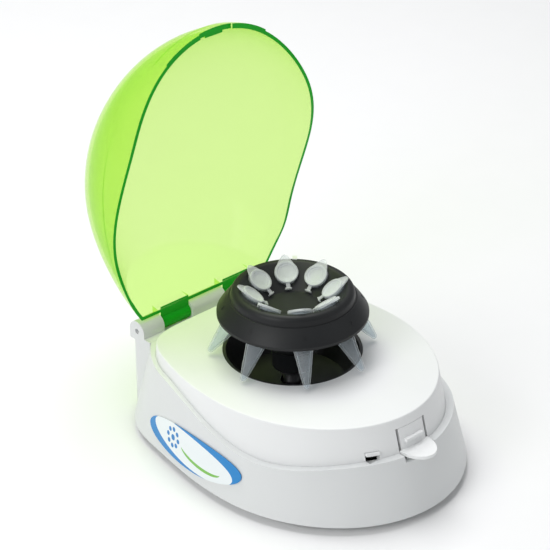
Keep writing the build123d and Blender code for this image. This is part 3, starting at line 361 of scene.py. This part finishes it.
# %% Give every CAD piece its finish
finishes = {
    "lower_housing": white_shell, "upper_housing": white_deck, "latch_tongue": white_deck,
    "interlock_bar": white_deck, "microswitch": black_moulding, "microswitch_bracket": white_shell,
    "lid": lid_clear, "hinge_pins": steel, "housing_screws": zinc, "oval_badge": printed_badge,
    "rotor_bowl": bowl_black, "bowl_screws": zinc, "motor_can": steel, "motor_end_cap": black_moulding,
    "motor_terminals": brass, "motor_bush": brass, "motor_plate": zinc, "motor_screws": zinc,
    "motor_grommets": rubber, "motor_mount_screws": zinc, "motor_shaft": steel,
    "drive_hub": aluminium, "rotor_grip_ring": rubber, "rotor": rotor_black,
    "rotor_index_mark": white_mark, "circuit_board": solder_mask, "board_screws": zinc,
    "board_capacitor": sleeve, "board_regulator": black_moulding, "board_sockets": nylon,
    "power_switch_frame": black_moulding, "power_rocker": black_moulding,
    "power_inlet": black_moulding, "power_inlet_pin": brass, "power_inlet_nut": zinc,
}
for name, node in frame["nodes"].items():
    if name.startswith("microtube_cap"):
        finish = cap_milky
    elif name.startswith("microtube"):
        finish = tube_milky
    elif name.startswith("rubber_foot"):
        finish = rubber
    else:
        finish = finishes[name]
    node.data.materials.clear()
    node.data.materials.append(finish)
print("finished CAD pieces:", len(frame["nodes"]))

# %% [markdown]
# A CAD mesh is loose triangles, so its curved walls would show their facets. The pieces that
# the eye rests on get a welded copy with smooth shading, which stands in for the CAD piece
# and keeps its exact shape.

# %% Welded, smooth copies of the large curved pieces
def only(piece):
    """Selects one object and nothing else, and makes it active."""
    bpy.ops.object.select_all(action="DESELECT")
    piece.select_set(True)
    bpy.context.view_layer.objects.active = piece
    return piece


def body_of(name):
    return next(body for body, names in frame["record"]["behaviour"]["bodies"].items() if name in names)


def welded_copy(name, crease=32):
    """A copy of a CAD piece with its triangles joined and its curved faces shaded smooth."""
    source = frame["nodes"][name]
    piece = bpy.data.objects.new(name + "_surface", source.data.copy())
    bpy.context.scene.collection.objects.link(piece)
    only(piece)
    bpy.ops.object.mode_set(mode="EDIT")
    bpy.ops.mesh.select_all(action="SELECT")
    bpy.ops.mesh.customdata_custom_splitnormals_clear()
    bpy.ops.mesh.remove_doubles(threshold=2e-6)
    bpy.ops.object.mode_set(mode="OBJECT")
    bpy.ops.object.shade_smooth_by_angle(angle=radians(crease))
    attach(piece, body_of(name))
    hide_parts(name)
    print(piece.name, "faces:", len(piece.data.polygons))
    return piece


smooth_names = [
    "lower_housing", "upper_housing", "lid", "rotor", "rotor_bowl", "latch_tongue", "interlock_bar",
    "oval_badge", "drive_hub", "rotor_index_mark",
]
smooth_names += [f"rubber_foot_{k}" for k in range(1, 5)]
ROTOR_CREASE = 18
surfaces = {name: welded_copy(name, ROTOR_CREASE if name == "rotor" else 32) for name in smooth_names}

# %% [markdown]
# A clear sheet pipes light along its wall to its edge, so the lid's rim is a deep green line.
# The rim's faces are found by place and normal: with the lid open they face forwards and lie
# in front of the hinge. They get the deeper finish as a second material.

# %% Deep green rim of the lid
lid_surface = surfaces["lid"]
lid_surface.data.materials.append(lid_edge)
rim_faces = 0
for face in lid_surface.data.polygons:
    if face.normal.y < -0.55 and face.center.y < hinge_place.y - 2.0 * MM:
        face.material_index = 1
        rim_faces += 1
print("rim faces:", rim_faces)

# %% [markdown]
# The sample tubes are thin polypropylene mouldings with a conical end, a rim and three
# raised filling marks. A tube is round, so it can be turned like a pot: a disc is extruded
# upwards ring by ring and each ring is scaled to the next radius of the outline, up the
# outside, over the rim and down the inside.

# %% Turning a round piece from an outline
TUBE_STEPS = 36


def lathe(name, outline, steps=TUBE_STEPS):
    """A closed round piece about the Z axis, from (radius, height) points in millimetres."""
    bpy.ops.object.select_all(action="DESELECT")
    radius, height = outline[0]
    bpy.ops.mesh.primitive_circle_add(
        vertices=steps, radius=radius * MM, fill_type="NGON", location=(0, 0, height * MM)
    )
    piece = bpy.context.object
    piece.name = name
    bpy.ops.object.transform_apply(location=True, rotation=True, scale=True)
    bpy.ops.object.mode_set(mode="EDIT")
    bpy.ops.mesh.select_all(action="SELECT")
    for next_radius, next_height in outline[1:]:
        rise = (0, 0, (next_height - height) * MM)
        bpy.ops.mesh.extrude_region_move(TRANSFORM_OT_translate={"value": rise})
        factor = next_radius / radius
        bpy.ops.transform.resize(
            value=(factor, factor, 1), center_override=(0, 0, next_height * MM)
        )
        radius, height = next_radius, next_height
    bpy.ops.mesh.select_all(action="SELECT")
    bpy.ops.mesh.normals_make_consistent(inside=False)
    bpy.ops.object.mode_set(mode="OBJECT")
    bpy.ops.object.shade_smooth_by_angle(angle=radians(40))
    return piece


# %% [markdown]
# The tube's sizes are those of the common 1.5 ml tube. Heights run from the centre of its
# rounded tip.

# %% Model one tube
TUBE_RADIUS = 5.4
CAP_RADIUS = 6.4
RIM_LOW = 36.6
MOUTH = 37.9
CAP_TOP = 39.4


def ridge(radius, height):
    """Three rings of a low raised filling mark."""
    return [(radius, height - 0.35), (radius + 0.12, height), (radius, height + 0.35)]


tube_outline = [(0.5, -1.8), (1.15, -1.5), (1.6, -0.85), (1.8, 0.0)]
tube_outline += ridge(3.33, 8.0) + [(5.0, 17.5)] + ridge(5.13, 23.5) + ridge(5.27, 30.5)
tube_outline += [
    (TUBE_RADIUS, 35.4), (TUBE_RADIUS, RIM_LOW), (6.3, RIM_LOW), (CAP_RADIUS, RIM_LOW + 0.15),
    (CAP_RADIUS, MOUTH - 0.15), (6.3, MOUTH), (4.55, MOUTH), (4.4, MOUTH - 0.3),
    (4.0, 17.5), (0.9, 0.0), (0.6, -0.6), (0.25, -0.9),
]
tube_model = lathe("tube_model", tube_outline)
print("tube faces:", len(tube_model.data.polygons))

# %% [markdown]
# The snap cap is turned the same way: a plug, a disc with two stepped wells and a small
# centre boss. Its finger tab is a flat leaf that is extruded from a stretched disc, and the
# strap is a thin bevelled band that folds from the rim to the cap.

# %% Model one cap with its tab and strap
cap_outline = [
    (3.4, MOUTH - 2.5), (4.2, MOUTH - 2.6), (4.35, MOUTH - 2.2), (4.3, MOUTH), (6.25, MOUTH),
    (CAP_RADIUS, MOUTH + 0.15), (CAP_RADIUS, CAP_TOP - 0.2), (6.2, CAP_TOP), (5.1, CAP_TOP),
    (4.9, CAP_TOP - 0.15), (4.8, CAP_TOP - 0.5), (3.8, CAP_TOP - 0.55), (3.6, CAP_TOP - 0.7),
    (3.5, CAP_TOP - 1.0), (1.3, CAP_TOP - 1.0), (1.15, CAP_TOP - 0.75), (0.5, CAP_TOP - 0.7),
]
cap_model = lathe("cap_model", cap_outline)


TAB_TIP = 10.2
TAB_RADIUS = 5.9
TAB_LOW = MOUTH + 0.15
TAB_THICKNESS = 1.0


def finger_tab():
    """The flat leaf that a finger lifts, with a raised border, as one more shell of the cap."""
    bpy.ops.object.select_all(action="DESELECT")
    bpy.ops.mesh.primitive_circle_add(
        vertices=48, radius=TAB_RADIUS * MM, fill_type="NGON", location=(0, 0, TAB_LOW * MM)
    )
    tab = bpy.context.object
    bpy.ops.object.transform_apply(location=True, rotation=True, scale=True)
    for vertex in tab.data.vertices:
        reach = max(vertex.co.x / (TAB_RADIUS * MM), 0)
        vertex.co.x *= 1 + (TAB_TIP / TAB_RADIUS - 1) * reach
        vertex.co.y *= 1 - 0.25 * reach**2
    bpy.ops.object.mode_set(mode="EDIT")
    bpy.ops.mesh.select_all(action="SELECT")
    bpy.ops.mesh.extrude_region_move(TRANSFORM_OT_translate={"value": (0, 0, TAB_THICKNESS * MM)})
    bpy.ops.mesh.inset(thickness=0.55 * MM)
    bpy.ops.transform.translate(value=(0, 0, -0.3 * MM))
    bpy.ops.mesh.select_all(action="SELECT")
    bpy.ops.mesh.normals_make_consistent(inside=False)
    bpy.ops.object.mode_set(mode="OBJECT")
    return tab


def band(middle, size):
    """One bevelled flat of the strap, from its middle and size in millimetres."""
    bpy.ops.object.select_all(action="DESELECT")
    bpy.ops.mesh.primitive_cube_add(size=1 * MM, location=[part * MM for part in middle])
    flat = bpy.context.object
    bpy.ops.object.transform_apply(location=True, rotation=True, scale=True)
    bpy.ops.object.mode_set(mode="EDIT")
    bpy.ops.mesh.select_all(action="SELECT")
    bpy.ops.transform.resize(value=size, center_override=[part * MM for part in middle])
    bpy.ops.mesh.bevel(offset=0.18 * MM, segments=2, affect="EDGES")
    bpy.ops.mesh.normals_make_consistent(inside=False)
    bpy.ops.object.mode_set(mode="OBJECT")
    return flat


neck = band((-7.6, 0, MOUTH + 0.3), (3.2, 2.2, 0.7))
fold = band((-9.3, 0, MOUTH - 0.15), (0.8, 3.6, 1.7))
extra_shells = [finger_tab(), neck, fold]
only(cap_model)
for shell in extra_shells:
    shell.select_set(True)
bpy.ops.object.join()
edge_bevel = cap_model.modifiers.new("softened edges", "BEVEL")
edge_bevel.width = 0.12 * MM
edge_bevel.segments = 2
edge_bevel.limit_method = "ANGLE"
edge_bevel.angle_limit = radians(50)
only(cap_model)
bpy.ops.object.modifier_apply(modifier=edge_bevel.name)
bpy.ops.object.shade_smooth_by_angle(angle=radians(40))
print("cap faces:", len(cap_model.data.polygons))

# %% [markdown]
# The eight places lean inwards by the same angle, evenly round the rotor. A matrix for each
# place carries the tube's own axes to its place, and each copy gets a mesh of its own with
# that place built in.

# %% Place the tubes and caps
TILT = radians(36.3)
TIP_CIRCLE = 43.9 * MM
TIP_HEIGHT = deck_top + 3.6 * MM
FIRST_PLACE = radians(11.25)
PLACES = 8


def place_matrix(k):
    """The tube's axes at place k: +Z from its tip to its cap, +X up and outwards."""
    turn = FIRST_PLACE + 2 * pi * k / PLACES
    out = Vector((cos(turn), sin(turn), 0))
    up_axis = out * -sin(TILT) + Vector((0, 0, cos(TILT)))
    outward = out * cos(TILT) + Vector((0, 0, sin(TILT)))
    sideways = up_axis.cross(outward)
    tip = out * TIP_CIRCLE + Vector((0, axis_y, TIP_HEIGHT))
    matrix = Matrix((outward, sideways, up_axis)).transposed().to_4x4()
    matrix.translation = tip
    return matrix


def placed_copy(model, name, matrix, finish, stands_for):
    """A copy with its own mesh, moved to its place and standing for a CAD piece."""
    piece = bpy.data.objects.new(name, model.data.copy())
    bpy.context.scene.collection.objects.link(piece)
    piece.data.transform(matrix)
    piece.data.materials.clear()
    piece.data.materials.append(finish)
    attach(piece, body_of(stands_for))
    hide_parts(stands_for)
    return piece


for k in range(PLACES):
    matrix = place_matrix(k)
    placed_copy(tube_model, f"sample_tube_{k + 1}", matrix, tube_milky, f"microtube_{k + 1}")
    placed_copy(cap_model, f"snap_cap_{k + 1}", matrix, cap_milky, f"microtube_cap_{k + 1}")
for model in (tube_model, cap_model):
    bpy.data.objects.remove(model)
print("tubes and caps placed:", 2 * PLACES)

# %% [markdown]
# The rotor's skirt carries raised position numbers, moulded in the same black, so they show
# only as faint glints. Each is a text object that is made a mesh and laid on the cone.

# %% Position numbers on the rotor's skirt
SKIRT_RADIUS = 37.45 * MM
SKIRT_HEIGHT = deck_top + 28.3 * MM
SKIRT_SLOPE = radians(52.5)


def position_number(k):
    turn = FIRST_PLACE + 2 * pi * k / PLACES
    bpy.ops.object.select_all(action="DESELECT")
    bpy.ops.object.text_add(location=(0, 0, 0))
    number = bpy.context.object
    number.name = f"position_number_{k + 1}"
    number.data.body = str(k + 1)
    number.data.size = 3.6 * MM
    number.data.extrude = 0.12 * MM
    number.data.resolution_u = 3
    number.data.align_x = "CENTER"
    number.data.align_y = "CENTER"
    only(number)
    bpy.ops.object.convert(target="MESH")
    number = bpy.context.object
    out = Vector((cos(turn), sin(turn), 0))
    normal = out * sin(SKIRT_SLOPE) + Vector((0, 0, cos(SKIRT_SLOPE)))
    across = Vector((0, 0, 1)).cross(out)
    upwards = normal.cross(across)
    matrix = Matrix((across, upwards, normal)).transposed().to_4x4()
    matrix.translation = out * SKIRT_RADIUS + Vector((0, axis_y, SKIRT_HEIGHT))
    number.data.transform(matrix)
    number.data.materials.clear()
    number.data.materials.append(rotor_black)
    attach(number, "rotor")


for k in range(PLACES):
    position_number(k)
print("position numbers:", PLACES)

# %% [markdown]
# The floor is one large pale sheet. It isn't part of the object.

# %% Floor
bpy.ops.object.select_all(action="DESELECT")
bpy.ops.mesh.primitive_plane_add(size=8, location=(0, 0, 0))
floor = bpy.context.object
floor.name = "floor"
floor.data.materials.append(plain_finish("pale_floor", (0.9, 0.9, 0.9), 0.7, 40.0, 0.0001, mottle=0.005))
